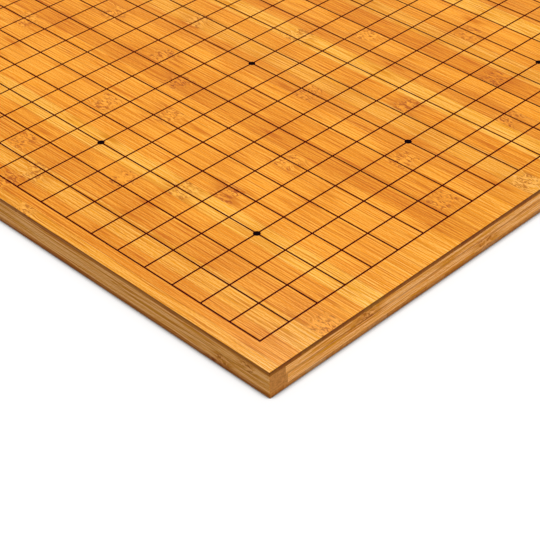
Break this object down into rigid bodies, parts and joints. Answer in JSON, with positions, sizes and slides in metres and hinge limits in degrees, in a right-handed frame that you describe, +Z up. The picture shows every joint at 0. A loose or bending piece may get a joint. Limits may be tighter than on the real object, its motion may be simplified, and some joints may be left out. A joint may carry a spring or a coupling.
{
  "type": "go board",
  "caption": "Flat reversible go board of laminated bamboo, with a large line grid on the top face and a smaller grid on the reverse.",
  "frame": {"origin": "middle of the reverse face, which lies on the table", "axes": "+X along the grain of the face strips and the longer side of the board, +Y across the grain, +Z up out of the face with the large grid"},
  "size_m": [0.457, 0.425, 0.018],
  "materials": {
    "top_bamboo": "satin clear lacquer over carbonised bamboo",
    "reverse_bamboo": "satin clear lacquer over carbonised bamboo",
    "core_bamboo": "satin clear lacquer over carbonised bamboo",
    "grid_ink": "dark reddish brown paint, matt, sunk in the grooves"
  },
  "bodies": {
    "root": {"back_edge_rails": "core_bamboo", "front_edge_rails": "core_bamboo", "grid_13_ink": "grid_ink", "grid_19_ink": "grid_ink", "lower_core_slats": "core_bamboo", "reverse_strip_01": "reverse_bamboo", "reverse_strip_02": "reverse_bamboo", "reverse_strip_03": "reverse_bamboo", "reverse_strip_04": "reverse_bamboo", "reverse_strip_05": "reverse_bamboo", "reverse_strip_06": "reverse_bamboo", "reverse_strip_07": "reverse_bamboo", "reverse_strip_08": "reverse_bamboo", "reverse_strip_09": "reverse_bamboo", "reverse_strip_10": "reverse_bamboo", "reverse_strip_11": "reverse_bamboo", "reverse_strip_12": "reverse_bamboo", "reverse_strip_13": "reverse_bamboo", "reverse_strip_14": "reverse_bamboo", "reverse_strip_15": "reverse_bamboo", "reverse_strip_16": "reverse_bamboo", "reverse_strip_17": "reverse_bamboo", "reverse_strip_18": "reverse_bamboo", "reverse_strip_19": "reverse_bamboo", "reverse_strip_20": "reverse_bamboo", "reverse_strip_21": "reverse_bamboo", "reverse_strip_22": "reverse_bamboo", "reverse_strip_23": "reverse_bamboo", "reverse_strip_24": "reverse_bamboo", "reverse_strip_25": "reverse_bamboo", "reverse_strip_26": "reverse_bamboo", "reverse_strip_27": "reverse_bamboo", "top_strip_01": "top_bamboo", "top_strip_02": "top_bamboo", "top_strip_03": "top_bamboo", "top_strip_04": "top_bamboo", "top_strip_05": "top_bamboo", "top_strip_06": "top_bamboo", "top_strip_07": "top_bamboo", "top_strip_08": "top_bamboo", "top_strip_09": "top_bamboo", "top_strip_10": "top_bamboo", "top_strip_11": "top_bamboo", "top_strip_12": "top_bamboo", "top_strip_13": "top_bamboo", "top_strip_14": "top_bamboo", "top_strip_15": "top_bamboo", "top_strip_16": "top_bamboo", "top_strip_17": "top_bamboo", "top_strip_18": "top_bamboo", "top_strip_19": "top_bamboo", "top_strip_20": "top_bamboo", "top_strip_21": "top_bamboo", "top_strip_22": "top_bamboo", "top_strip_23": "top_bamboo", "top_strip_24": "top_bamboo", "top_strip_25": "top_bamboo", "top_strip_26": "top_bamboo", "top_strip_27": "top_bamboo", "upper_core_slats": "core_bamboo"}
  },
  "joints": []
}
